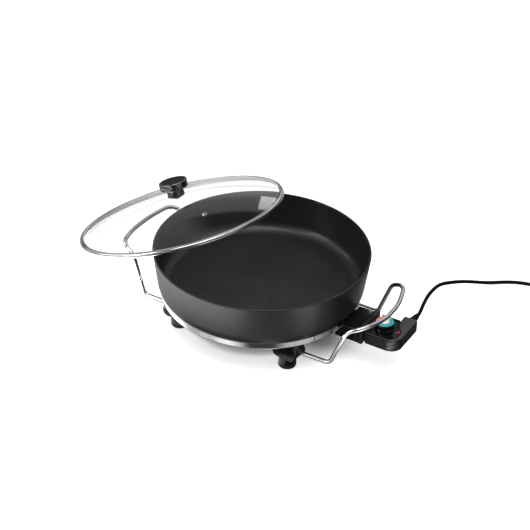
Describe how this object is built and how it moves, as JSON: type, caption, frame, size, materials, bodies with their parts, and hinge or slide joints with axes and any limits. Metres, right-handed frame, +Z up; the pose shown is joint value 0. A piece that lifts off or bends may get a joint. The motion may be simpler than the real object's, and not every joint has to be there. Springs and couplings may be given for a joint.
{
  "type": "electric skillet",
  "caption": "Deep round electric skillet on feet with two wire handles, a loose domed glass lid and a plug-in thermostat on a mains lead.",
  "frame": {"origin": "on the table, under the axis of the pan", "axes": "+X towards the thermostat, +Y towards the mains lead, +Z up"},
  "size_m": [0.8899, 0.742, 0.2035],
  "materials": {
    "pan_coating": "dark non-stick coating, satin",
    "polished_steel": "polished",
    "chromed_rod": "bright chrome",
    "plain_steel": "plain",
    "element_sheath": "oxidised sheath",
    "ceramic": "fired, matte",
    "contact_metal": "plated",
    "moulded_black": "moulded, glossy",
    "casing_black": "moulded, semi-gloss",
    "pad_rubber": "matte",
    "lid_glass": "clear",
    "dial_colour": "glossy",
    "lens_red": "clear red",
    "lamp_glass": "clear",
    "wire_cover": "satin",
    "lead_rubber": "satin"
  },
  "bodies": {
    "pan": {"pan_body": "pan_coating", "base_shield": "polished_steel", "heating_element": "element_sheath", "element_seals": "ceramic", "contact_pins": "contact_metal", "probe_sleeve": "plain_steel", "socket_housing": "moulded_black", "housing_screws": "plain_steel", "bracket_right_front": "moulded_black", "bracket_right_rear": "moulded_black", "bracket_left_front": "moulded_black", "bracket_left_rear": "moulded_black", "bracket_screws": "plain_steel", "foot_pads": "pad_rubber", "handle_grub_screws": "plain_steel", "handle_right": "chromed_rod", "handle_left": "chromed_rod"},
    "lid": {"lid_glass": "lid_glass", "lid_band": "polished_steel", "vent_eyelet": "polished_steel", "knob_seal": "pad_rubber", "lid_knob": "moulded_black", "knob_washer": "plain_steel", "knob_screw": "plain_steel"},
    "thermostat": {"thermostat_lower": "casing_black", "thermostat_upper": "casing_black", "thermostat_probe": "plain_steel", "contact_sockets": "contact_metal", "thermostat_switch": "ceramic", "inner_leads": "wire_cover", "pilot_lens": "lens_red", "pilot_lamp": "lamp_glass", "shell_screws": "plain_steel", "strain_relief": "lead_rubber", "cord": "lead_rubber", "cord_coil": "lead_rubber", "cord_tail": "lead_rubber", "cord_tie": "casing_black", "plug_body": "lead_rubber", "plug_pins": "contact_metal"},
    "dial": {"dial": "dial_colour", "dial_spindle": "plain_steel"}
  },
  "joints": [
    {"name": "lid_lift", "type": "slide", "parent": "pan", "child": "lid", "axis": [0, 0, 1], "range_m": [0, 0.15]},
    {"name": "thermostat_unplug", "type": "slide", "parent": "pan", "child": "thermostat", "axis": [1, 0, 0], "range_m": [0, 0.14]},
    {"name": "dial_turn", "type": "hinge", "parent": "thermostat", "child": "dial", "pos_m": [0.256, 0.001, 0.08], "axis": [0, 0, 1], "range_deg": [0, 270]}
  ]
}
